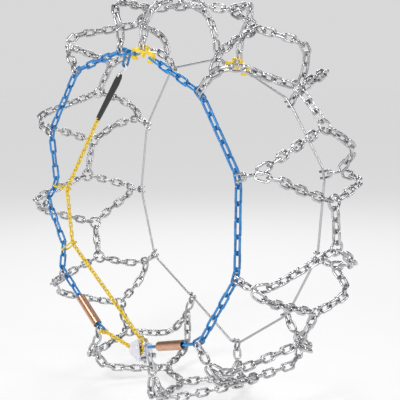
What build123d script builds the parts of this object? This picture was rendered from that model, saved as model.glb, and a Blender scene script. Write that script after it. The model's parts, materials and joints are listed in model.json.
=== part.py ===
from build123d import *
import math
import os

os.makedirs("parts", exist_ok=True)

# ---------------------------------------------------------------- dimensions
# millimetres and degrees; wheel axle on Y, outer side toward -Y, +Z up

# tyre the net is cut for (315/80 R22.5 class, itself left out)
TYRE_RADIUS = 538.0
TREAD_HALF = 122.0
SHOULDER_RADIUS = 32.0
CHAIN_LIFT = 13.0

# tread net chain
WIRE = 7.2
PITCH = 29.7
INNER_WIDTH = 12.0
PLAY = 0.8
RING_OUTER = 44.0

# junction link, wide enough for two diagonals
JUNCTION_PITCH = 26.5
JUNCTION_WIDTH = 16.4

# outer side chain
SIDE_WIRE = 6.5
SIDE_PITCH = 40.5
SIDE_WIDTH = 9.4

# end connectors between side chains and net
CLIP_WIRE = 7.0
CLIP_SPREAD = 17.0
CLIP_LENGTH = 26.0
CLIP_OFFSET = 3.0

# tensioning chain
TENSION_WIRE = 4.2
TENSION_PITCH = 14.0
TENSION_WIDTH = 5.6
TENSION_PLAY = 0.6

# cover tubes
TUBE_OUTER = 26.4
TUBE_WALL = 1.6
TUBE_LENGTH = 112.0

# radii of the outer side chain where the net hangs on it
HOOK_ANGLE = 10.0
HOOK_RADIUS = 405.0
RIGHT_RADII = [429.0, 458.0, 461.0, 448.0]
LEFT_RADII = [412.0, 446.0, 455.0]
GUIDE_RADII = [394.0, 398.0]
LOW_LEFT_RADII = [455.0, 450.0]
END_RADIUS = 425.0

# ---------------------------------------------------------------- vectors


def add(a, b, k=1.0):
    return (a[0] + k * b[0], a[1] + k * b[1], a[2] + k * b[2])


def sub(a, b):
    return (a[0] - b[0], a[1] - b[1], a[2] - b[2])


def dot(a, b):
    return a[0] * b[0] + a[1] * b[1] + a[2] * b[2]


def cross(a, b):
    x = a[1] * b[2] - a[2] * b[1]
    y = a[2] * b[0] - a[0] * b[2]
    z = a[0] * b[1] - a[1] * b[0]
    return (x, y, z)


def norm(a):
    return math.sqrt(dot(a, a))


def unit(a):
    n = norm(a)
    return (a[0] / n, a[1] / n, a[2] / n)


def lerp(a, b, t):
    return (a[0] + (b[0] - a[0]) * t, a[1] + (b[1] - a[1]) * t, a[2] + (b[2] - a[2]) * t)


def square_to(v, t):
    return unit(add(v, t, -dot(v, t)))


def polar(angle, radius, y):
    a = math.radians(angle)
    return (radius * math.sin(a), y, radius * math.cos(a))


def angle_of(p):
    return math.degrees(math.atan2(p[0], p[2])) % 360.0


def radius_of(p):
    return math.hypot(p[0], p[2])


def locate(origin, x_dir, z_dir):
    return Plane(origin=origin, x_dir=x_dir, z_dir=z_dir).location


# ---------------------------------------------------------------- lay surface

AXIS_RADIUS = TYRE_RADIUS + CHAIN_LIFT
AXIS_CORNER = SHOULDER_RADIUS + CHAIN_LIFT
SIDE_Y = TREAD_HALF + AXIS_CORNER
CORNER_ARC = AXIS_CORNER * math.pi / 2
CORNER_END = TREAD_HALF + CORNER_ARC
CORNER_LOW = AXIS_RADIUS - AXIS_CORNER


def shell(angle, u, lift=0.0):
    # point and outward normal at arc length u from the tread centre, + inward
    s = 1.0 if u >= 0 else -1.0
    w = abs(u)
    if w <= TREAD_HALF:
        y, r, ny, nr = w, AXIS_RADIUS, 0.0, 1.0
    elif w <= CORNER_END:
        a = (w - TREAD_HALF) / AXIS_CORNER
        ny, nr = math.sin(a), math.cos(a)
        y, r = TREAD_HALF + AXIS_CORNER * ny, CORNER_LOW + AXIS_CORNER * nr
    else:
        y, r, ny, nr = SIDE_Y, CORNER_LOW - (w - CORNER_END), 1.0, 0.0
    y, r = y + lift * ny, r + lift * nr
    a = math.radians(angle)
    n = (nr * math.sin(a), s * ny, nr * math.cos(a))
    return (r * math.sin(a), s * y, r * math.cos(a)), n


def side_u(radius):
    return CORNER_END + CORNER_LOW - radius


# ---------------------------------------------------------------- chain laying


def walk(path, steps):
    # pivots one step apart along a dense path, and what is left of the path
    pts = [q[0] for q in path]
    tail = unit(sub(pts[-1], pts[-2]))
    ext = pts + [add(pts[-1], tail, 400.0)]
    out = [path[0]]
    cur, j, f = pts[0], 0, 0.0
    for step in steps:
        while j + 1 < len(ext) and norm(sub(ext[j + 1], cur)) < step:
            j += 1
            f = 0.0
        lo, hi = f, 1.0
        for _ in range(26):
            mid = (lo + hi) / 2
            if norm(sub(lerp(ext[j], ext[j + 1], mid), cur)) < step:
                lo = mid
            else:
                hi = mid
        f = hi
        cur = lerp(ext[j], ext[j + 1], f)
        k = min(j, len(path) - 1)
        out.append((cur, path[k][1]))
    if j >= len(pts) - 1:
        left = -norm(sub(cur, pts[-1]))
    else:
        left = norm(sub(ext[j + 1], cur))
        for i in range(j + 1, len(pts) - 1):
            left += norm(sub(pts[i + 1], pts[i]))
    return out, left


def link_steps(kinds, pitch, wire, play):
    short, long_ = pitch - wire - play, pitch + wire
    return [short if k == "a" else long_ for k in kinds]


def lay_links(pivots, kinds, solid):
    # "a" links lie in the plane of path and normal, "b" links across it
    made = []
    for i, kind in enumerate(kinds):
        p, q = pivots[i][0], pivots[i + 1][0]
        t = unit(sub(q, p))
        n = square_to(add(pivots[i][1], pivots[i + 1][1]), t)
        z = cross(t, n) if kind == "a" else n
        made.append(solid.moved(locate(lerp(p, q, 0.5), t, z)))
    return made


def bisect(fn, lo, hi, rounds=30):
    # root of a rising function
    for _ in range(rounds):
        mid = (lo + hi) / 2
        if fn(mid) < 0:
            lo = mid
        else:
            hi = mid
    return (lo + hi) / 2


# ---------------------------------------------------------------- base solids


def bar_along(edges, dia):
    # round bar along joined edges
    line = Wire(edges)
    start = edges[0] @ 0
    way = edges[0] % 0
    return sweep(Plane(origin=start, z_dir=way) * Circle(dia / 2), path=line)


def link_solid(pitch, wire, width):
    r = (width + wire) / 2
    h = (pitch - width) / 2
    ring = Torus(r, wire / 2, major_angle=180, align=None)
    leg = Plane.YZ * Cylinder(wire / 2, 2 * h)
    right = Pos(h, 0, 0) * Rot(0, 0, -90) * ring
    left = Pos(-h, 0, 0) * Rot(0, 0, 90) * ring
    body = right + left + Pos(0, r, 0) * leg + Pos(0, -r, 0) * leg
    return body.solids()[0]


def save(name, solids):
    flat = []
    for s in solids:
        flat.extend(s.solids())
    export_step(Compound(children=flat), "parts/" + name + ".step")
    return flat


NET_LINK = link_solid(PITCH, WIRE, INNER_WIDTH)
JUNCTION = link_solid(JUNCTION_PITCH, WIRE, JUNCTION_WIDTH)
SIDE_LINK = link_solid(SIDE_PITCH, SIDE_WIRE, SIDE_WIDTH)
TENSION_LINK = link_solid(TENSION_PITCH, TENSION_WIRE, TENSION_WIDTH)
RING_MID = (RING_OUTER - WIRE) / 2
RING = Torus(RING_MID, WIRE / 2)

NET_SHORT = PITCH - WIRE - PLAY
SIDE_SHORT = SIDE_PITCH - SIDE_WIRE - PLAY
SIDE_LONG = SIDE_PITCH + SIDE_WIRE
SIDE_PAIR = SIDE_SHORT + SIDE_LONG
LEG = (SIDE_WIDTH + SIDE_WIRE) / 2


def side_chain(corners, y, kinds, pitch, solid, wire=SIDE_WIRE, play=PLAY):
    # chain along straight runs between corners; bends turn about the axle
    path = []
    n = (0.0, -1.0, 0.0) if y < 0 else (0.0, 1.0, 0.0)
    for i in range(len(corners) - 1):
        for k in range(60):
            path.append((lerp(corners[i], corners[i + 1], k / 60), n))
    path.append((corners[-1], n))
    pivots, left = walk(path, link_steps(kinds, pitch, wire, play))
    # here "a" links lie flat on the sidewall
    flip = [{"a": "b", "b": "a"}[k] for k in kinds]
    return pivots, lay_links(pivots, flip, solid), left


def clip_solid(spread, length, wire, core):
    # two-legged end connector: legs curl round a bar of diameter core at z 0
    rk = (core + wire) / 2 + 0.5
    h = spread / 2
    top = length - h
    end = math.radians(-150)
    parts = []
    for s in (1, -1):
        low = (s * h, -rk * math.cos(end), rk * math.sin(end))
        half = math.radians(-75)
        mid = (s * h, -rk * math.cos(half), rk * math.sin(half))
        curl = Edge.make_three_point_arc((s * h, -rk, 0), mid, low)
        knee = (s * h, -rk + 1.2, 9.0)
        leg = Edge.make_line((s * h, -CLIP_OFFSET, top), knee)
        join = Edge.make_spline([knee, (s * h, -rk, 0)],
                                tangents=[sub(knee, (s * h, -CLIP_OFFSET, top)), (0, 0, -1)])
        parts.append(bar_along([leg, join, curl], wire))
    y = -CLIP_OFFSET
    crown = Edge.make_three_point_arc((h, y, top), (0, y, top + h), (-h, y, top))
    parts.append(bar_along([crown], wire))
    body = parts[0] + parts[2] + parts[1]
    body += Pos(h, y, top) * Sphere(wire / 2)
    body += Pos(-h, y, top) * Sphere(wire / 2)
    return body.solids()[0]


CLIP = clip_solid(CLIP_SPREAD, CLIP_LENGTH, CLIP_WIRE, SIDE_WIRE)

# ---------------------------------------------------------------- outer side chain


def next_angle(angle, r1, r2, chord, sense):
    c = (r1 * r1 + r2 * r2 - chord * chord) / (2 * r1 * r2)
    return angle + sense * math.degrees(math.acos(c))


CELL = 3 * SIDE_PAIR + 1.0
OUT_Y = -SIDE_Y
JAW = 34.5

hook_mid = polar(HOOK_ANGLE, HOOK_RADIUS, OUT_Y)
hook_x = polar(HOOK_ANGLE + 90, 1.0, 0.0)
hook_z = polar(HOOK_ANGLE, 1.0, 0.0)


def hook_point(x, z):
    return add(add(hook_mid, hook_x, x), hook_z, z)


jaw_right = hook_point(JAW, -4.0)
jaw_left = hook_point(-JAW, -4.0)

# right run: hook, four net attachments, cover tube, tension lock
corners = [jaw_right]
first = 3 * SIDE_LONG + 2.5 * SIDE_SHORT
a = next_angle(angle_of(jaw_right), radius_of(jaw_right), RIGHT_RADII[0], first, 1)
corners.append(polar(a, RIGHT_RADII[0], OUT_Y))
for r0, r1 in zip(RIGHT_RADII, RIGHT_RADII[1:]):
    a = next_angle(a, r0, r1, CELL, 1)
    corners.append(polar(a, r1, OUT_Y))
last = 2.5 * SIDE_SHORT + 3 * SIDE_LONG
a = next_angle(a, RIGHT_RADII[-1], 402.0, last, 1)
corners.append(polar(a, 402.0, OUT_Y))
corners.append(polar(a + 6, 402.0, OUT_Y))
right_kinds = "babab" + "ababab" * 3 + "ababab"
right_pivots, right_links, _ = side_chain(corners, OUT_Y, right_kinds, SIDE_PITCH, SIDE_LINK)

# left run: hook, net attachments, two chain guides, cover tube, end shackle
corners = [jaw_left]
a = next_angle(angle_of(jaw_left), radius_of(jaw_left), LEFT_RADII[0],
               SIDE_LONG + 0.5 * SIDE_SHORT, -1)
corners.append(polar(a, LEFT_RADII[0], OUT_Y))
r0 = LEFT_RADII[0]
for r1 in LEFT_RADII[1:]:
    a = next_angle(a, r0, r1, CELL, -1)
    corners.append(polar(a, r1, OUT_Y))
    r0 = r1
for k, part_of in enumerate([(4.0, 2.0), (4.0, 2.0)]):
    half = SIDE_PAIR / 2
    a = next_angle(a, r0, GUIDE_RADII[k], part_of[0] * half, -1)
    corners.append(polar(a, GUIDE_RADII[k], OUT_Y))
    a = next_angle(a, GUIDE_RADII[k], LOW_LEFT_RADII[k], part_of[1] * half, -1)
    corners.append(polar(a, LOW_LEFT_RADII[k], OUT_Y))
    r0 = LOW_LEFT_RADII[k]
a = next_angle(a, r0, END_RADIUS, CELL, -1)
corners.append(polar(a, END_RADIUS, OUT_Y))
corners.append(polar(a - 8, END_RADIUS, OUT_Y))
left_kinds = "ba" + "bababa" * 5
left_pivots, left_links, _ = side_chain(corners, OUT_Y, left_kinds, SIDE_PITCH, SIDE_LINK)


def link_frame(pivots, i, y):
    # centre, run direction and radial direction of one side link
    p, q = pivots[i][0], pivots[i + 1][0]
    c = lerp(p, q, 0.5)
    t = unit(sub(q, p))
    z = square_to(polar(angle_of(c), 1.0, 0.0), t)
    return c, t, z


# attachments in turn round the wheel from the hook's right side
seats = [(hook_point(0.0, 22.0), hook_x, hook_z)]
for i in (5, 11, 17, 23):
    c, t, z = link_frame(right_pivots, i, OUT_Y)
    seats.append((add(c, z, LEG), t, z))
lock_seat_index = len(seats)
LOCK_CENTRE = add(right_pivots[-1][0], polar(angle_of(right_pivots[-1][0]) + 90, 1, 0), 42.0)
lock_x = polar(angle_of(LOCK_CENTRE) + 90, 1.0, 0.0)
lock_z = polar(angle_of(LOCK_CENTRE), 1.0, 0.0)
LOCK_BAR = -42.0 - SIDE_WIRE - 0.5
seats.append((add(add(LOCK_CENTRE, lock_x, LOCK_BAR), lock_z, 20.0), lock_x, lock_z))
for i in (31, 25, 19, 13, 7, 1):
    c, t, z = link_frame(left_pivots, i, OUT_Y)
    back = 1.2 if i == 31 else 0.0
    seats.append((add(add(c, z, LEG), t, -back), t, z))

for k, q in enumerate(seats):
    print("seat", k, round(angle_of(q[0]), 1), round(radius_of(q[0]), 1))

# ---------------------------------------------------------------- tread net

STACK = (WIRE + 1.2) / 2
CROWN_DROP = CLIP_SPREAD / 2
CROWN_SHIFT = 1.0


def junction_sizes(k):
    # centre and far bend of a junction link from the connector's arc centre, and
    # how far short of that bend a strand's first pivot lies
    single = k == 0 or k == len(seats) - 1
    pitch = PITCH if single else JUNCTION_PITCH
    width = INNER_WIDTH if single else JUNCTION_WIDTH
    stack = 0.0 if single else STACK
    half = (pitch + WIRE) / 2
    bend = (width + WIRE) / 2
    reach = half - bend + math.sqrt(bend * bend - stack * stack)
    back = WIRE + 0.4
    if not single:
        hole = width / 2 - WIRE / 2 - 0.12
        back = math.sqrt(bend * bend - stack * stack) - math.sqrt(hole * hole - stack * stack)
    return CROWN_SHIFT + half, CROWN_SHIFT + half + reach, back


def crown_of(seat):
    return add(seat[0], seat[2], CLIP_LENGTH - CROWN_DROP)


crowns = [crown_of(q) for q in seats]
out_junction = []
for k, c in enumerate(crowns):
    ang = angle_of(c)
    u = -side_u(radius_of(c))
    to_mid, to_bend, back = junction_sizes(k)
    top = shell(ang, u, CLIP_OFFSET)
    mid = shell(ang, u + to_mid, CLIP_OFFSET)
    out_junction.append((ang, u + to_bend, top, mid, back))


def strand_path(start, end, bow, lift0, lift1, trim, head=0.0, rows=90):
    # surface path between two (angle, u) spots with a sideways bow
    centre = shell(end[0], end[1])[0]
    first = shell(start[0], start[1], lift0)[0]
    path = []
    for i in range(rows + 1):
        t = i / rows
        b = math.sin(math.pi * t)
        ang = start[0] + (end[0] - start[0]) * t + bow[0] * b
        u = start[1] + (end[1] - start[1]) * t + bow[1] * b
        fade = min(1.0, max(0.0, (0.62 - t) / 0.42))
        p, n = shell(ang, u, lift1 + (lift0 - lift1) * fade)
        if trim and norm(sub(p, centre)) < trim:
            if path:
                q = path[-1]
                d0, d1 = norm(sub(q[0], centre)), norm(sub(p, centre))
                f = (d0 - trim) / (d0 - d1)
                path.append((lerp(q[0], p, f), n))
            break
        if head and norm(sub(p, first)) < head:
            last = p
            continue
        if head and not path:
            d0, d1 = norm(sub(last, first)), norm(sub(p, first))
            path.append((lerp(last, p, (head - d0) / (d1 - d0)), n))
        path.append((p, n))
    return path


OUT_KINDS = "babababa"
out_steps = link_steps(OUT_KINDS, PITCH, WIRE, PLAY)
TIE_KINDS = "aba"
tie_steps = link_steps(TIE_KINDS, PITCH, WIRE, PLAY)


def ring_reach(start, ring_angle, stack, back):
    # u where the taut diagonal from a junction lets the ring lie
    def miss(u):
        path = strand_path(start, (ring_angle, u), (0, 0), CLIP_OFFSET + stack, 0.0,
                           RING_MID, back)
        return walk(path, out_steps)[1]
    return bisect(miss, start[1] + 120.0, start[1] + 300.0, 22)


def tie_path(r0, r1, bow):
    path = strand_path(r0, r1, (0, bow), 0.0, 0.0, RING_MID)
    centre = shell(r0[0], r0[1])[0]
    keep = [q for q in path if norm(sub(q[0], centre)) > RING_MID]
    k = path.index(keep[0])
    a0, a1 = path[k - 1], path[k]
    d0, d1 = norm(sub(a0[0], centre)), norm(sub(a1[0], centre))
    f = (RING_MID - d0) / (d1 - d0)
    return [(lerp(a0[0], a1[0], f), a1[1])] + keep


def cell_rings(k):
    s0, s1 = out_junction[k], out_junction[(k + 1)]
    a0, a1 = s0[0], s1[0]
    if a1 < a0:
        a1 += 360.0
    mid = (a0 + a1) / 2

    up = 0.0 if k == 0 else STACK
    down = 0.0 if k == len(seats) - 2 else -STACK

    def place(half):
        r0 = (mid - half, ring_reach((a0, s0[1]), mid - half, up, s0[4]))
        r1 = (mid + half, ring_reach((a1, s1[1]), mid + half, down, s1[4]))
        return r0, r1

    def miss(half):
        r0, r1 = place(half)
        return walk(tie_path(r0, r1, 0.0), tie_steps)[1]

    half = bisect(miss, 4.2, 8.0, 16)
    return place(half), (a0, a1)


cells = []
for k in range(len(seats) - 1):
    rings, span = cell_rings(k)
    cells.append((rings, span))
    print("cell", k, [round(v, 1) for r in rings for v in r])


def fit_bow(make, steps, top):
    # smallest sideways bow that takes up the whole chain
    if walk(make(0.0), steps)[1] >= 0:
        return 0.0
    return bisect(lambda b: walk(make(b), steps)[1], 0.0, top, 26)


net = []
for k, (rings, span) in enumerate(cells):
    links = []
    for side in (0, 1):
        jun = out_junction[k + side]
        start = (span[side], jun[1])
        stack = STACK if side == 0 else -STACK
        if (k == 0 and side == 0) or (k == len(cells) - 1 and side == 1):
            stack = 0.0

        def make(b, start=start, ring=rings[side], stack=stack, side=side, back=jun[4]):
            turn = (b if side == 0 else -b, 0.0)
            return strand_path(start, ring, turn, CLIP_OFFSET + stack, 0.0, RING_MID, back)

        bow = fit_bow(make, out_steps, 12.0)
        pivots, left = walk(make(bow), out_steps)
        links += lay_links(pivots, OUT_KINDS, NET_LINK)
    tie = tie_path(rings[0], rings[1], 0.0)
    pivots, left = walk(tie, tie_steps)
    links += lay_links(pivots, TIE_KINDS, NET_LINK)
    net.append(links)

# ---------------------------------------------------------------- inner side

TOP_U = CORNER_END + CORNER_LOW
INNER_RADIUS = 398.0


def near_angle(ang, ref):
    return ang - 360.0 * round((ang - ref) / 360.0)


def in_kinds(k):
    return "ba" * in_pairs[k]


def in_stack(c, side):
    if (c == 0 and side == 0) or (c == len(cells) - 1 and side == 1):
        return 0.0
    return STACK if side == 0 else -STACK


def inner_reach(k, c, side, ang):
    # arc length at which the strand to one ring comes taut
    ring = cells[c][0][side]
    at = near_angle(ang, ring[0])
    steps = link_steps(in_kinds(k), PITCH, WIRE, PLAY)
    lift = CLIP_OFFSET + in_stack(c, side)
    back = junction_sizes(k)[2]

    def miss(u):
        path = strand_path((at, u), ring, (0, 0), lift, 0.0, RING_MID, back)
        return walk(path, steps)[1]
    return bisect(miss, 60.0, 420.0, 28)


# links of each inner strand: the count that brings the cable nearest its radius
in_pairs = [2] * len(seats)
for k in range(len(seats)):
    ref = angle_of(crowns[k])
    cell, side = (0, 0) if k == 0 else (k - 1, 1)
    best = None
    for pairs in (2, 3, 4, 5, 6):
        in_pairs[k] = pairs
        u = inner_reach(k, cell, side, ref)
        crown = radius_of(shell(ref, u + junction_sizes(k)[1], 0.0)[0])
        miss_by = abs(crown - CLIP_LENGTH + CROWN_DROP - INNER_RADIUS)
        if best is None or miss_by < best[0]:
            best = (miss_by, pairs)
    in_pairs[k] = best[1]
print("inner strand links", [2 * q for q in in_pairs])

in_junction = []
in_seats = []
for k in range(len(seats)):
    ref = angle_of(crowns[k])
    if 0 < k < len(seats) - 1:
        ang = bisect(lambda q: inner_reach(k, k, 0, q) - inner_reach(k, k - 1, 1, q),
                     ref - 9.0, ref + 9.0, 22)
        u = inner_reach(k, k, 0, ang)
    else:
        ang = HOOK_ANGLE if k == 0 else ref
        u = inner_reach(k, 0, 0, ang) if k == 0 else inner_reach(k, k - 1, 1, ang)
    to_mid, to_bend, back = junction_sizes(k)
    top = shell(ang, u + to_bend, CLIP_OFFSET)
    mid = shell(ang, u + to_bend - to_mid, CLIP_OFFSET)
    in_junction.append((ang, u, top, mid, back))
    out = polar(ang, 1.0, 0.0)
    r = radius_of(top[0]) - CLIP_LENGTH + CROWN_DROP
    in_seats.append((polar(ang, r, SIDE_Y), polar(ang + 90, 1.0, 0.0), out))
    print("inner", k, round(ang, 1), "u", round(u, 1), "cable R", round(r, 1))

for k, (rings, span) in enumerate(cells):
    for side in (0, 1):
        seat_no = k + side
        jun = in_junction[seat_no]
        ring = rings[side]
        at = near_angle(jun[0], ring[0])
        kinds = in_kinds(seat_no)
        steps = link_steps(kinds, PITCH, WIRE, PLAY)
        lift = CLIP_OFFSET + in_stack(k, side)
        path = strand_path((at, jun[1]), ring, (0, 0), lift, 0.0, RING_MID, jun[4])
        pivots, left = walk(path, steps)
        net[k] += lay_links(pivots, kinds, NET_LINK)
        if abs(left) > 0.05:
            print("slack", k, side, round(left, 2))

for k, links in enumerate(net):
    save("net_cell_%02d" % (k + 1), links)

for k, (rings, span) in enumerate(cells):
    pair = []
    for ang, u in rings:
        p, n = shell(ang, u)
        pair.append(RING.moved(locate(p, polar(ang + 90, 1, 0), n)))
    save("ring_pair_%02d" % (k + 1), pair)


def hardware(places, junctions):
    # a junction link and an end connector at every seat
    made = []
    for k, q in enumerate(junctions):
        p0, p1 = q[2][0], q[3][0]
        n = (0.0, -1.0, 0.0) if p0[1] < 0 else (0.0, 1.0, 0.0)
        t = unit(sub(p1, p0))
        flat = square_to(add(q[2][1], q[3][1]), t)
        single = k == 0 or k == len(junctions) - 1
        solid = NET_LINK if single else JUNCTION
        made.append(solid.moved(locate(p1, t, cross(t, flat))))
        seat = places[k]
        # connector's own axes: x along the bar, -y away from the tyre, z to the crown
        bar = cross(seat[2], n)
        made.append(CLIP.moved(locate(seat[0], bar, seat[2])))
    return made


made = hardware(seats, out_junction)
save("outer_junctions", made[0::2])
save("outer_connectors_right", made[1:11:2])
save("outer_connectors_left", made[11::2])
made = hardware(in_seats, in_junction)
save("inner_junctions", made[0::2])
save("inner_connectors_right", made[1:11:2])
save("inner_connectors_left", made[11::2])
save("outer_chain_right", right_links)

# ---------------------------------------------------------------- closing hooks

HOOK_THICK = 8.4


def hook_solid():
    # two inward curled jaws, a spike between them and a round bar on top
    jaw_r = 11.5
    bar_w = 9.5
    shape = None
    for s in (1, -1):
        cx, cz = s * (JAW - 0.75), -4.0
        pts = []
        for deg in (112, 60, 0, -60, -112):
            a = math.radians(deg)
            pts.append((cx + s * jaw_r * math.cos(a), cz + jaw_r * math.sin(a)))
        first = ThreePointArc(pts[0], pts[1], pts[2])
        second = ThreePointArc(pts[2], pts[3], pts[4])
        arm = trace(first + second, bar_w)
        tip = Pos(*pts[4]) * Circle(bar_w / 2)
        root = make_hull([Pos(*pts[0]) * Edge.make_circle(bar_w / 2),
                          Pos(s * 12.5, 10.0) * Edge.make_circle(6.0)])
        piece = arm + tip + root
        shape = piece if shape is None else shape + piece
    spike = make_face(Polyline((-17, 4), (17, 4), (17, 13), (-17, 13), close=True))
    spike += make_face(Polyline((-9, 6), (9, 6), (2.0, -9), (-2.0, -9), close=True))
    post = Pos(16.5, 16) * Rectangle(5, 16) + Pos(-16.5, 16) * Rectangle(5, 16)
    shape = shape + spike + post
    plate = extrude(shape, HOOK_THICK / 2, both=True)
    body = Rot(90, 0, 0) * plate
    window = Pos(0, 0, 14.9) * Box(28.0, 20.0, 8.6)
    body -= window
    body += Pos(0, 0, 22) * (Rot(0, 90, 0) * Cylinder(SIDE_WIRE / 2, 33.0))
    return max(body.solids(), key=lambda q: q.volume)


HOOK = hook_solid()
place = locate(hook_mid, hook_x, cross(hook_x, (0.0, -1.0, 0.0)))
# local x right, local z radial: y of the local frame is the wheel's inner side
hook_loc = Plane(origin=hook_mid, x_dir=hook_x, z_dir=hook_z).location
save("closing_hook", [HOOK.moved(hook_loc)])
in_mid = add(in_seats[0][0], in_seats[0][2], -22.0)
in_loc = Plane(origin=in_mid, x_dir=in_seats[0][1], z_dir=in_seats[0][2]).location
save("inner_closing_hook", [HOOK.moved(in_loc)])

# inner side cable: wire rope through the inner connectors, an eye at each end
CABLE_EYE = 18.0
FERRULE = 12.0
FERRULE_STOP = 5.0
EYE_LINK = link_solid(CABLE_EYE, SIDE_WIRE, SIDE_WIDTH)
EYE_LONG = CABLE_EYE + SIDE_WIRE


def in_jaw(s):
    return add(add(in_mid, in_seats[0][1], s * JAW), in_seats[0][2], -4.0)


STRAIGHT = 18.0
CABLE_BEND = 20.0
eyes = []
ends = []
for s, k in ((1, 1), (-1, 11)):
    jaw = in_jaw(s)
    near = add(in_seats[k][0], in_seats[k][1], -s * STRAIGHT)
    way = unit(sub(near, jaw))
    c = add(jaw, way, EYE_LONG / 2)
    eye = EYE_LINK.moved(locate(c, way, cross(way, (0.0, 1.0, 0.0))))
    grip0 = add(jaw, way, EYE_LONG - 1.0)
    grip1 = add(grip0, way, FERRULE)
    mid = lerp(grip0, grip1, 0.5)
    stub = Cylinder(5.6, FERRULE).moved(Plane(origin=mid, z_dir=way).location)
    bore = Cylinder(SIDE_WIRE / 2 + 0.05, FERRULE)
    stub -= bore.moved(Plane(origin=add(mid, way, FERRULE_STOP), z_dir=way).location)
    eyes.append((eye + stub).solids()[0])
    ends.append(add(grip0, way, FERRULE_STOP + 0.5))
save("inner_cable_eyes", eyes)
route = [ends[0]]
for q in in_seats[1:]:
    route.append(add(q[0], q[1], -STRAIGHT))
    route.append(add(q[0], q[1], STRAIGHT))
route.append(ends[1])
line = FilletPolyline(*[(q[0], q[2]) for q in route], radius=CABLE_BEND)
start_way = line % 0
section = Plane(origin=line @ 0, z_dir=start_way) * Circle(SIDE_WIRE / 2)
rope = sweep(section, path=line)
print("cable length", round(line.length, 1), "ratio",
      round(rope.volume / (math.pi * SIDE_WIRE ** 2 / 4 * line.length), 4))
stand = Plane(origin=(0, SIDE_Y, 0), x_dir=(1, 0, 0), z_dir=(0, -1, 0))
save("inner_cable", [rope.solids()[0].moved(stand.location)])

# ---------------------------------------------------------------- cover tubes


def tube_between(p, q, at):
    t = unit(sub(q, p))
    mid = add(p, t, at + TUBE_LENGTH / 2)
    tube = Cylinder(TUBE_OUTER / 2, TUBE_LENGTH) - Cylinder(TUBE_OUTER / 2 - TUBE_WALL, TUBE_LENGTH)
    return tube.moved(Plane(origin=mid, z_dir=t).location)


v7 = lerp(right_pivots[23][0], right_pivots[24][0], 0.5)
right_axis = (right_pivots[24][0], right_pivots[-1][0])
right_tube = tube_between(right_axis[0], right_axis[1], 48.0)
v5 = lerp(left_pivots[25][0], left_pivots[26][0], 0.5)
left_axis = (left_pivots[26][0], left_pivots[31][0])
left_tube = tube_between(left_axis[0], left_axis[1], 94.0)
save("cover_tube_right", [right_tube])
save("cover_tube_left", [left_tube])
save("outer_chain_left", left_links)
for name, ends_of in (("right", right_axis), ("left", left_axis)):
    print("tube", name, [round(v, 2) for v in lerp(ends_of[0], ends_of[1], 0.5)],
          [round(v, 5) for v in unit(sub(ends_of[1], ends_of[0]))])

# ---------------------------------------------------------------- tension chain

out_n = (0.0, -1.0, 0.0)
seat5 = seats[5]


def lock_point(x, z, y=0.0):
    # x toward the left tube, z away from the axle, y away from the tyre
    return add(add(add(LOCK_CENTRE, lock_x, x), lock_z, z), out_n, y)


TURN_R = 19.0
pin_at = left_pivots[-1][0]
end_t = unit(sub(left_pivots[-1][0], left_pivots[-2][0]))
run1_t = unit(sub(lock_point(0, TURN_R), pin_at))
NOSE = 19.0
chain_start = add(pin_at, run1_t, NOSE)

guide_low = polar(243.2, 350.0, OUT_Y)
guide_high = polar(271.0, 336.0, OUT_Y)
strap_aim = polar(329.3, 277.0, OUT_Y)


def arc_path(start, centre, radius, goal):
    # straight to a circle round centre, round it, and straight on to goal
    def polar_xz(p):
        return math.atan2(p[2] - centre[2], p[0] - centre[0])

    def tangent(p, sign):
        d = math.hypot(p[0] - centre[0], p[2] - centre[2])
        return polar_xz(p) + sign * math.acos(radius / d)

    def spot(a):
        return (centre[0] + radius * math.cos(a), OUT_Y, centre[2] + radius * math.sin(a))

    a0 = tangent(start, 1)
    a1 = tangent(goal, -1)
    while a1 < a0:
        a1 += 2 * math.pi
    pts = [lerp(start, spot(a0), k / 40) for k in range(40)]
    pts += [spot(a0 + (a1 - a0) * k / 60) for k in range(60)]
    pts += [lerp(spot(a1), goal, k / 80) for k in range(80)]
    return pts


pts = arc_path(chain_start, LOCK_CENTRE, TURN_R, guide_low)
pts += [lerp(guide_low, guide_high, k / 60) for k in range(60)]
pts += [lerp(guide_high, strap_aim, k / 80) for k in range(81)]
path = [(p, out_n) for p in pts]
count = 1
tens_kinds = "b"
steps = link_steps(tens_kinds, TENSION_PITCH, TENSION_WIRE, TENSION_PLAY)
total = sum(norm(sub(pts[i + 1], pts[i])) for i in range(len(pts) - 1))
pair = 2 * TENSION_PITCH - TENSION_PLAY
tens_kinds = "b" + "ab" * int((total - 18) / pair)
steps = link_steps(tens_kinds, TENSION_PITCH, TENSION_WIRE, TENSION_PLAY)
tens_pivots, spare = walk(path, steps)
flip = [{"a": "b", "b": "a"}[k] for k in tens_kinds]
tens_links = lay_links(tens_pivots, flip, TENSION_LINK)
print("tension links", len(tens_links), "spare", round(spare, 1))


def nearest(point):
    return min(range(len(tens_links)), key=lambda i: norm(sub(tens_pivots[i][0], point)))


cut1 = nearest(lock_point(0, -TURN_R)) + 1
cut2 = nearest(guide_low)
cut3 = nearest(guide_high)
save("tension_chain_1", tens_links[:cut1])
save("tension_chain_2", tens_links[cut1:cut2])
save("tension_chain_3", tens_links[cut2:cut3])
save("tension_chain_4", tens_links[cut3:])

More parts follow.
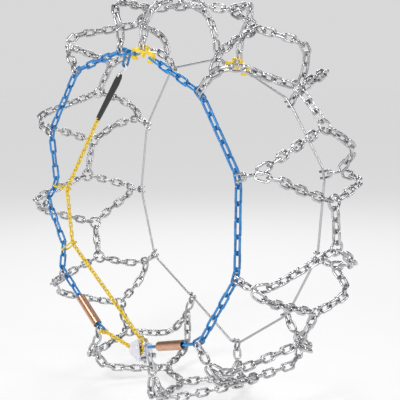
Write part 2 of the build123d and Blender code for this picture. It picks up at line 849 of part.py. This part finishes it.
# end shackle: fork over the last side link, nose eye for the first tension link
arm = Pos(6.5, 0, 0) * Box(11.0, 3.0, 9.0) + Rot(90, 0, 0) * Cylinder(4.7, 3.0)
shackle = Pos(0, 5.9, 0) * arm + Pos(0, -5.9, 0) * arm
shackle += Pos(11.8, 0, 0) * Box(3.2, 14.8, 11.0)
shackle += Pos(16.0, 0, 0) * Box(8.0, 4.4, 10.0)
shackle += Pos(NOSE, 0, 0) * (Rot(90, 0, 0) * Cylinder(5.0, 4.4))
shackle -= Rot(90, 0, 0) * Cylinder(3.5, 40)
shackle -= Pos(NOSE, 0, 0) * (Rot(90, 0, 0) * Cylinder(2.75, 10))
sh_loc = Plane(origin=pin_at, x_dir=run1_t, z_dir=cross(run1_t, (0.0, 1.0, 0.0))).location
save("end_shackle", [shackle.moved(sh_loc)])
pin = Rot(90, 0, 0) * Cylinder(SIDE_WIRE / 2, 19.0)
pin += Pos(0, -11.5, 0) * (Rot(90, 0, 0) * Cylinder(5.2, 2.6))
pin += Pos(0, -12.6, 0) * Sphere(5.4)
pin += Pos(0, 8.9, 0) * (Rot(90, 0, 0) * Cylinder(4.6, 1.6))
save("shackle_pin", [pin.moved(sh_loc)])

# ---------------------------------------------------------------- chain guides


def loop_solid(length, width, wire, gap):
    # long open loop of round bar, mouth at the -x end
    r = (width + wire) / 2
    h = (length + wire) / 2 - r
    body = Pos(h, 0, 0) * Rot(0, 0, -90) * Torus(r, wire / 2, major_angle=180, align=None)
    body += Pos(0, r, 0) * (Plane.YZ * Cylinder(wire / 2, 2 * h))
    body += Pos(0, -r, 0) * (Plane.YZ * Cylinder(wire / 2, 2 * h))
    lip = math.degrees(math.asin((gap + wire) / 2 / r))
    span = 90 - lip
    upper = Rot(0, 0, 90) * Torus(r, wire / 2, major_angle=span, align=None)
    lower = Rot(0, 0, 180 + lip) * Torus(r, wire / 2, major_angle=span, align=None)
    body += Pos(-h, 0, 0) * upper
    body += Pos(-h, 0, 0) * lower
    for s in (1, -1):
        a = math.radians(180 - s * lip)
        tip = (-h + r * math.cos(a), r * math.sin(a))
        body += Pos(tip[0], tip[1], 0) * Sphere(wire / 2 + 0.6)
    return max(body.solids(), key=lambda q: q.volume)


GUIDE_WIRE = 5.5
GUIDE_WIDTH = 17.4


def guide_at(corner_angle, chain_at):
    # the loop holds the inner leg of the nearest flat side link
    best = None
    for i, kind in enumerate(left_kinds):
        if kind != "a":
            continue
        c = lerp(left_pivots[i][0], left_pivots[i + 1][0], 0.5)
        d = norm(sub(c, chain_at))
        if best is None or d < best[0]:
            best = (d, i)
    c, t, z = link_frame(left_pivots, best[1], OUT_Y)
    leg = add(c, z, -LEG)
    way = unit(sub(chain_at, leg))
    length = norm(sub(chain_at, leg)) + SIDE_WIRE / 2 + TENSION_WIRE + TENSION_WIDTH / 2 + 2.6
    mid = add(leg, way, length / 2 - SIDE_WIRE / 2 - 0.5)
    solid = loop_solid(length, GUIDE_WIDTH, GUIDE_WIRE, 4.6)
    print("guide", best[1], round(length, 1))
    return solid.moved(Plane(origin=mid, x_dir=way, z_dir=cross(way, (0, 1.0, 0))).location)


save("guide_lower", [guide_at(243.2, guide_low)])
save("guide_upper", [guide_at(271.0, guide_high)])

# ---------------------------------------------------------------- tension lock

lock_loc = Plane(origin=LOCK_CENTRE, x_dir=lock_x, z_dir=cross(lock_x, lock_z)).location
# in this local frame: x toward the left tube, y away from the axle,
# z = x cross y, which points to the tyre or away from it
LOCK_SIGN = 1.0 if dot(cross(lock_x, lock_z), out_n) > 0 else -1.0
GAP = 7.8
PLATE = 2.6
WALL_R = 27.0


def lock_z_slab(shape, low, high):
    # extrude a sketch between two heights measured away from the tyre
    a, b = sorted((LOCK_SIGN * low, LOCK_SIGN * high))
    return Pos(0, 0, a) * extrude(shape, b - a)


round_plate = Pos(0, 0) * Circle(WALL_R + 2.6)
foot = make_hull([Pos(-2, 35) * Edge.make_circle(7.0), Pos(-8, 10) * Edge.make_circle(12.0),
                  Pos(14, 18) * Edge.make_circle(9.0)])
back = lock_z_slab(round_plate + foot, -GAP - PLATE, -GAP)
wall_band = Circle(WALL_R + 2.6) - Circle(WALL_R)
keep = make_face(Polyline((0, 0), (-51, -32), (-60, 0), (-60, 30), (-16, 58), close=True))
wall = lock_z_slab(wall_band & keep, -GAP - 0.5, GAP + 1.2)
frame = back + wall
BAR_X = LOCK_BAR
rail_lo, rail_hi = 20.0, -13.0


def rod(p, q, dia):
    d = sub(q, p)
    solid = Cylinder(dia / 2, norm(d))
    return solid.moved(Plane(origin=lerp(p, q, 0.5), z_dir=unit(d)).location)


frame += rod((-24, rail_lo, 0), (BAR_X - 14.5, rail_lo, 0), SIDE_WIRE)
frame += rod((-24, rail_hi, 0), (BAR_X, rail_hi, 0), SIDE_WIRE)
frame += rod((BAR_X, rail_hi, 0), (BAR_X, rail_lo, 0), SIDE_WIRE)
frame += Pos(BAR_X, rail_hi, 0) * Sphere(SIDE_WIRE / 2)
frame += Pos(BAR_X - 14.5, rail_lo, 0) * Sphere(SIDE_WIRE / 2 + 0.9)
frame -= Cylinder(3.2, 60)
frame -= Pos(-2, 35) * Cylinder(2.7, 60)
frame = max(frame.solids(), key=lambda q: q.volume)
save("lock_frame", [frame.moved(lock_loc)])

leaf = make_hull([Pos(-1, -15) * Edge.make_circle(6.0), Pos(20, 3) * Edge.make_circle(15.0),
                  Pos(33, 17) * Edge.make_circle(8.0), Pos(2, 14) * Edge.make_circle(12.0),
                  Pos(-2, 33) * Edge.make_circle(8.0)])
cheek = lock_z_slab(leaf, GAP + 1.4, GAP + 1.4 + PLATE)
cheek -= Cylinder(3.2, 60)
cheek -= Pos(-2, 35) * Cylinder(2.7, 60)
save("lock_cheek", [cheek.moved(lock_loc)])

roller = Cylinder(10.6, 2 * GAP - 1.0) - Cylinder(3.3, 40)
save("lock_roller", [roller.moved(lock_loc)])
span_lo, span_hi = -GAP - PLATE - 1.6, GAP + 1.4 + PLATE + 1.6


def cross_pin(dia, x, y):
    mid = LOCK_SIGN * (span_lo + span_hi) / 2
    body = Pos(x, y, mid) * Cylinder(dia / 2, span_hi - span_lo)
    cap = LOCK_SIGN * (span_hi - 0.6)
    body += Pos(x, y, cap) * Cylinder(dia / 2 + 2.0, 1.6)
    low = LOCK_SIGN * (span_lo + 0.6)
    body += Pos(x, y, low) * Cylinder(dia / 2 + 1.6, 1.6)
    return body


save("lock_pins", [cross_pin(6.0, 0, 0).moved(lock_loc), cross_pin(5.0, -2, 35).moved(lock_loc)])

pawl_shape = make_hull([Pos(-2, 35) * Edge.make_circle(5.6), Pos(19, 31.5) * Edge.make_circle(2.2)])
pawl_shape += make_hull([Pos(-2, 35) * Edge.make_circle(5.6), Pos(-14, 44) * Edge.make_circle(4.5)])
pawl = lock_z_slab(pawl_shape, -5.2, 5.2)
pawl -= Pos(-2, 35) * Cylinder(2.75, 60)
save("lock_pawl", [pawl.moved(lock_loc)])
PAWL_AXIS = add(add(LOCK_CENTRE, lock_x, -2.0), lock_z, 35.0)
print("pawl axis", PAWL_AXIS, "sign", LOCK_SIGN)
print("lock", LOCK_CENTRE, lock_x, lock_z)
print("shackle", sh_loc.position, sh_loc.orientation)

# ---------------------------------------------------------------- strap and hanger

c0, t0, z0 = link_frame(left_pivots, 0, OUT_Y)
leg0 = add(c0, out_n, LEG)
tilt = math.radians(16.0)
west = polar(angle_of(c0) - 90, 1.0, 0.0)
hang = unit(add((-z0[0] * math.cos(tilt), 0.0, -z0[2] * math.cos(tilt)), west, math.sin(tilt)))
hang_mid = add(leg0, hang, SIDE_PITCH / 2 - SIDE_WIRE / 2 - 0.5)
hang_x = cross(hang, (0.0, 1.0, 0.0))
save("hanger_link", [SIDE_LINK.moved(locate(hang_mid, hang, hang_x))])
low_end = add(hang_mid, hang, SIDE_PITCH / 2 + SIDE_WIRE / 2)

tens_end = tens_pivots[-1][0]
aim_from = add(low_end, (0, 0, 0))
flat_end = (tens_end[0], low_end[1], tens_end[2])
way = unit(sub(tens_end, low_end))
HOOK_WIRE = 5.0
HOOK_EYE = (SIDE_WIRE + HOOK_WIRE) / 2 + 0.5
EYE_R = 6.6
SHANK = 20.0
whole = norm(sub(tens_end, low_end))
hook_far = HOOK_EYE + SHANK + EYE_R
# hook local frame: x along the strap, hook centre on the hanger's lower bend
hk = Rot(0, 0, 90) * Torus(HOOK_EYE, HOOK_WIRE / 2, major_angle=215, align=None)
hk += rod((HOOK_EYE * 0.0, -HOOK_EYE, 0), (9.0, -HOOK_EYE, 0), HOOK_WIRE)
hk += Pos(0, -HOOK_EYE, 0) * Sphere(HOOK_WIRE / 2)
hk += Pos(9.0, -HOOK_EYE, 0) * Sphere(HOOK_WIRE / 2)
hk += rod((9.0, -HOOK_EYE, 0), (HOOK_EYE + SHANK - 5, 0, 0), HOOK_WIRE)
hk += Pos(HOOK_EYE + SHANK - 5, 0, 0) * Sphere(HOOK_WIRE / 2)
hk += rod((HOOK_EYE + SHANK - 5, 0, 0), (HOOK_EYE + SHANK, 0, 0), HOOK_WIRE)
ring_mid = HOOK_EYE + SHANK + EYE_R
hk += Pos(ring_mid, 0, 0) * (Rot(90, 0, 0) * Torus(EYE_R, HOOK_WIRE / 2))
hk = max(hk.solids(), key=lambda q: q.volume)
hook_y = unit(cross(cross(way, (0.0, 1.0, 0.0)), way))
hk_loc = Plane(origin=low_end, x_dir=way, z_dir=hook_y).location
save("strap_hook", [hk.moved(hk_loc)])

# strap: flat rubber band between the hook's eye and the last tension link
STRAP_THICK = 4.4
far = ring_mid + EYE_R
hole_a = far
hole_b = whole
outline = make_hull([Pos(hole_a, 0) * Edge.make_circle(9.0), Pos(hole_b - 1.0, 0) * Edge.make_circle(7.5),
                     Pos(hole_a + 22, 0) * Edge.make_circle(11.0)])
strap = extrude(outline, STRAP_THICK / 2, both=True)
strap -= Pos(hole_a, 0, 0) * Cylinder(HOOK_WIRE / 2 + 1.2, 20)
strap -= Pos(hole_b, 0, 0) * Cylinder(TENSION_WIRE / 2 + 1.0, 20)
save("strap", [strap.moved(hk_loc)])
print("strap length", round(hole_b - hole_a, 1), "whole", round(whole, 1))
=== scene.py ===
import json
import math

import bmesh
import bpy
import numpy
from mathutils import Matrix, Vector


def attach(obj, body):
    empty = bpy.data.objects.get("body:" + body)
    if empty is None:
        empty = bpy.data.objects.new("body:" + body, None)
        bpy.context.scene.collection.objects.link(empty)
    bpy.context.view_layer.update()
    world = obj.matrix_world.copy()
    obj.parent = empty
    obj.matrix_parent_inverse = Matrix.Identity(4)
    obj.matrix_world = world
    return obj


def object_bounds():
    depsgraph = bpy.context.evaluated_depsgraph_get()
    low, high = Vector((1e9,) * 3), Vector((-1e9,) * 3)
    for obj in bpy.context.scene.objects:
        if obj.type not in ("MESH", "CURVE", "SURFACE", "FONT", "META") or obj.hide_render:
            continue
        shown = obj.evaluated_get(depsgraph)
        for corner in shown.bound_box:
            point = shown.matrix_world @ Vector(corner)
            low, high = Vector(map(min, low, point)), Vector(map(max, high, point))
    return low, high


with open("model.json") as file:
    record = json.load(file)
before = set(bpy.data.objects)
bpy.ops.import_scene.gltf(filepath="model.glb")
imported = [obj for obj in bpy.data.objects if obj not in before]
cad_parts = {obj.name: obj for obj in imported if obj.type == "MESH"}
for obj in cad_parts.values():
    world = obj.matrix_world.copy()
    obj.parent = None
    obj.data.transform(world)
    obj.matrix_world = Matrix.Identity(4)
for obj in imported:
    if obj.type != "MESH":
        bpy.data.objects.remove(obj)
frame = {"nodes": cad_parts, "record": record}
nodes = frame["nodes"]
cad_low, cad_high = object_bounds()

# ---------------------------------------------------------------- tread net
# Rings, oval links, junction links and connectors, all bent from round steel
# wire and bright zinc plated. The plating is cloudy and finely scratched.


def new_finish(name, metallic, roughness):
    made = bpy.data.materials.new(name)
    made.use_nodes = True
    shader = made.node_tree.nodes["Principled BSDF"]
    shader.inputs["Metallic"].default_value = metallic
    shader.inputs["Roughness"].default_value = roughness
    return made, made.node_tree, shader


def noise(tree, where, scale, detail):
    made = tree.nodes.new("ShaderNodeTexNoise")
    made.inputs["Scale"].default_value = scale
    made.inputs["Detail"].default_value = detail
    tree.links.new(where.outputs["Object"], made.inputs["Vector"])
    return made


def cloudy_colour(tree, shader, scale, detail, dark, light, start=0.0, end=1.0):
    # base colour drifting between two tones; gives the coordinates it reads
    where = tree.nodes.new("ShaderNodeTexCoord")
    cloud = noise(tree, where, scale, detail)
    tone = tree.nodes.new("ShaderNodeValToRGB")
    first, last = tone.color_ramp.elements
    first.position, first.color = start, (*dark, 1)
    last.position, last.color = end, (*light, 1)
    tree.links.new(cloud.outputs["Fac"], tone.inputs["Fac"])
    tree.links.new(tone.outputs["Color"], shader.inputs["Base Color"])
    return where


def put_on(finish, slot_name):
    # every CAD piece of that slot takes the finish and smooth shading
    for entry in frame["record"]["subparts"]:
        if entry["material_slot"] != slot_name:
            continue
        mesh = nodes[entry["node"]].data
        mesh.materials.clear()
        mesh.materials.append(finish)
        for face in mesh.polygons:
            face.material_index = 0
            face.use_smooth = True
        mesh.set_sharp_from_angle(angle=SHARP_ANGLE)


SHARP_ANGLE = math.radians(38)
SCRATCH_DEPTH = 0.0004
steel, tree, shader = new_finish("plated_steel", 1.0, 0.5)
where = cloudy_colour(tree, shader, 38.0, 6.0, (0.34, 0.34, 0.35), (0.74, 0.74, 0.75), 0.3, 0.72)
fine = noise(tree, where, 420.0, 4.0)
rough = tree.nodes.new("ShaderNodeMapRange")
rough.inputs["To Min"].default_value = 0.14
rough.inputs["To Max"].default_value = 0.34
tree.links.new(fine.outputs["Fac"], rough.inputs["Value"])
tree.links.new(rough.outputs["Result"], shader.inputs["Roughness"])
bump = tree.nodes.new("ShaderNodeBump")
bump.inputs["Strength"].default_value = 0.12
bump.inputs["Distance"].default_value = SCRATCH_DEPTH
tree.links.new(fine.outputs["Fac"], bump.inputs["Height"])
tree.links.new(bump.outputs["Normal"], shader.inputs["Normal"])
put_on(steel, "plated_steel")

# ---------------------------------------------------------------- lock works and strap hook
# Roller, pawl and pins of the tension lock, and the hook of the strap, turned
# or bent from steel and left bright.
bright, tree, shader = new_finish("bright_steel", 1.0, 0.26)
shader.inputs["Base Color"].default_value = (0.88, 0.88, 0.9, 1)
put_on(bright, "bright_steel")

# ---------------------------------------------------------------- tension lock
# Frame and leaf-shaped cheek, pressed from thick plate and passivated to a
# pale, slightly violet white.
plate, tree, shader = new_finish("lock_plate", 0.85, 0.34)
cloudy_colour(tree, shader, 70.0, 2.0, (0.62, 0.62, 0.68), (0.92, 0.91, 0.96))
put_on(plate, "lock_plate")

# ---------------------------------------------------------------- outer side chain
# Long oval links, blue, dipped in gloss enamel after welding.
blue, tree, shader = new_finish("blue_paint", 0.0, 0.3)
cloudy_colour(tree, shader, 60.0, 5.0, (0.004, 0.12, 0.36), (0.010, 0.27, 0.64), 0.3, 0.75)
shader.inputs["Coat Weight"].default_value = 0.5
shader.inputs["Coat Roughness"].default_value = 0.12
put_on(blue, "blue_paint")

# ---------------------------------------------------------------- hooks, guides and tensioning chain
# Forged closing hooks, wire guide loops, end shackle and the thin tensioning
# chain, all in yellow enamel.
yellow, tree, shader = new_finish("yellow_paint", 0.0, 0.32)
cloudy_colour(tree, shader, 60.0, 5.0, (0.70, 0.46, 0.01), (0.88, 0.68, 0.02), 0.3, 0.75)
shader.inputs["Coat Weight"].default_value = 0.4
shader.inputs["Coat Roughness"].default_value = 0.15
put_on(yellow, "yellow_paint")

# ---------------------------------------------------------------- cover tubes
# Two thin tubes slipped over the side chain, copper plated and scuffed satin.
copper, tree, shader = new_finish("copper_tube", 1.0, 0.34)
cloudy_colour(tree, shader, 120.0, 6.0, (0.50, 0.24, 0.14), (0.85, 0.55, 0.40))
put_on(copper, "copper_tube")

# ---------------------------------------------------------------- inner rope
# Steel wire rope that closes the inner side, with a pressed eye at each end.
rope, tree, shader = new_finish("cable_steel", 1.0, 0.38)
shader.inputs["Base Color"].default_value = (0.55, 0.55, 0.57, 1)
put_on(rope, "cable_steel")

# ---------------------------------------------------------------- strap
# Black rubber strap, moulded in one piece with a hole at each end.
rubber, tree, shader = new_finish("strap_rubber", 0.0, 0.48)
shader.inputs["Base Color"].default_value = (0.012, 0.012, 0.013, 1)
put_on(rubber, "strap_rubber")

# ---------------------------------------------------------------- weld beads
# Every oval link is bent from round wire and butt welded in the middle of one
# long side, which leaves a low collar of flash there.
MERGE_GAP = 0.000002
BEAD_LENGTH = 0.8
for chain, finish, proud in (("net_cell", steel, 1.15), ("outer_chain", blue, 1.14)):
    beads = bmesh.new()
    for name in sorted(nodes):
        if not name.startswith(chain):
            continue
        links = bmesh.new()
        links.from_mesh(nodes[name].data)
        bmesh.ops.remove_doubles(links, verts=links.verts, dist=MERGE_GAP)
        links.verts.ensure_lookup_table()
        seen = [False] * len(links.verts)
        for first in range(len(links.verts)):
            if seen[first]:
                continue
            seen[first] = True
            island = [links.verts[first]]
            for vert in island:
                for edge in vert.link_edges:
                    other = edge.other_vert(vert)
                    if not seen[other.index]:
                        seen[other.index] = True
                        island.append(other)
            points = numpy.array([vert.co[:] for vert in island])
            spread = points - points.mean(axis=0)
            axes = numpy.linalg.eigh(spread.T @ spread)[1].T[::-1]
            middle = points.mean(axis=0)
            reach = [numpy.ptp(spread @ axis) for axis in axes]
            for axis in axes:
                ahead = spread @ axis
                middle = middle + (ahead.max() + ahead.min()) / 2 * axis
            wire = reach[2]
            inward = axes[1][1] + 0.3 * axes[1][2] > 0
            across = Vector(axes[1]) * (1 if inward else -1)
            along = Vector(axes[0])
            centre = Vector(middle) + across * (reach[1] - wire) / 2
            turn = Matrix((along, across, along.cross(across))).transposed().to_4x4()
            size = Matrix.Diagonal((wire * BEAD_LENGTH, wire / 2 * proud, wire / 2 * proud, 1))
            bmesh.ops.create_uvsphere(beads, u_segments=10, v_segments=6, radius=1.0,
                                      matrix=Matrix.Translation(centre) @ turn @ size)
        links.free()
    bmesh.ops.recalc_face_normals(beads, faces=beads.faces)
    mesh = bpy.data.meshes.new(chain + "_weld_beads")
    beads.to_mesh(mesh)
    beads.free()
    mesh.materials.append(finish)
    for face in mesh.polygons:
        face.use_smooth = True
    collar = bpy.data.objects.new(chain + "_weld_beads", mesh)
    bpy.context.collection.objects.link(collar)
    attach(collar, "net")

# ---------------------------------------------------------------- floor
# A plain pale floor under the net, out to the horizon.
bpy.ops.mesh.primitive_plane_add(size=1, location=(0, 0, cad_low[2] - 0.001))
floor = bpy.context.object
floor.name = "floor"
floor.scale = (400, 400, 1)
pale = bpy.data.materials.new("floor_pale")
pale.use_nodes = True
shader = pale.node_tree.nodes["Principled BSDF"]
shader.inputs["Base Color"].default_value = (0.45, 0.45, 0.45, 1)
shader.inputs["Roughness"].default_value = 0.8
shader.inputs["Specular IOR Level"].default_value = 0.1
shader.inputs["Emission Color"].default_value = (1, 1, 1, 1)
shader.inputs["Emission Strength"].default_value = 0.56
floor.data.materials.append(pale)

# ---------------------------------------------------------------- light
# A pale band at the horizon, darker overhead, and four soft lamps.
world = bpy.data.worlds.new("studio")
bpy.context.scene.world = world
world.use_nodes = True
nt = world.node_tree
back = nt.nodes["Background"]
co = nt.nodes.new("ShaderNodeTexCoord")
split = nt.nodes.new("ShaderNodeSeparateXYZ")
ramp = nt.nodes.new("ShaderNodeValToRGB")
nt.links.new(co.outputs["Generated"], split.inputs["Vector"])
up = nt.nodes.new("ShaderNodeMapRange")
up.inputs["From Min"].default_value = -1.0
nt.links.new(split.outputs["Z"], up.inputs["Value"])
nt.links.new(up.outputs["Result"], ramp.inputs["Fac"])
ramp.color_ramp.elements[0].position = 0.56
ramp.color_ramp.elements[0].color = (0.69, 0.69, 0.69, 1)
ramp.color_ramp.elements[1].position = 0.62
ramp.color_ramp.elements[1].color = (0.10, 0.10, 0.11, 1)
ceiling = ramp.color_ramp.elements.new(0.9)
ceiling.color = (0.3, 0.3, 0.31, 1)
nt.links.new(ramp.outputs["Color"], back.inputs["Color"])
back.inputs["Strength"].default_value = 1.0

# the first light is the key
LAMPS = (
    ((0.2, -2.6, 2.4), 1.2, 62.0),
    ((2.8, 0.9, 2.2), 1.4, 46.0),
    ((1.6, -2.8, 0.2), 0.8, 16.0),
    ((-2.0, 1.8, 2.2), 1.6, 40.0),
)
for k, (place, size, watts) in enumerate(LAMPS):
    data = bpy.data.lights.new("lamp_%d" % k, "AREA")
    data.size = size
    data.energy = watts
    lamp = bpy.data.objects.new("lamp_%d" % k, data)
    bpy.context.collection.objects.link(lamp)
    lamp.location = place
    aim = Vector((0, 0, 0)) - Vector(place)
    lamp.rotation_euler = aim.to_track_quat("-Z", "Y").to_euler()

# ---------------------------------------------------------------- camera
azimuth = math.radians(52.137)
elevation = math.radians(7.282)
roll = math.radians(-0.73)
behind = Vector((math.sin(azimuth) * math.cos(elevation),
                 -math.cos(azimuth) * math.cos(elevation), math.sin(elevation)))
side = Vector((math.cos(azimuth), math.sin(azimuth), 0))
above = behind.cross(side)
right = side * math.cos(roll) + above * math.sin(roll)
above = above * math.cos(roll) - side * math.sin(roll)
lens = bpy.data.cameras.new("camera")
lens.lens = 83.9
lens.sensor_width = 36.0
lens.shift_x = 0.0535
lens.shift_y = -0.0095
lens.clip_start = 0.05
lens.clip_end = 50.0
camera = bpy.data.objects.new("camera", lens)
bpy.context.collection.objects.link(camera)
turn = Matrix((right, above, behind)).transposed().to_4x4()
camera.matrix_world = Matrix.Translation(behind * 2.665) @ turn
bpy.context.scene.camera = camera
bpy.context.scene.view_settings.view_transform = "Standard"
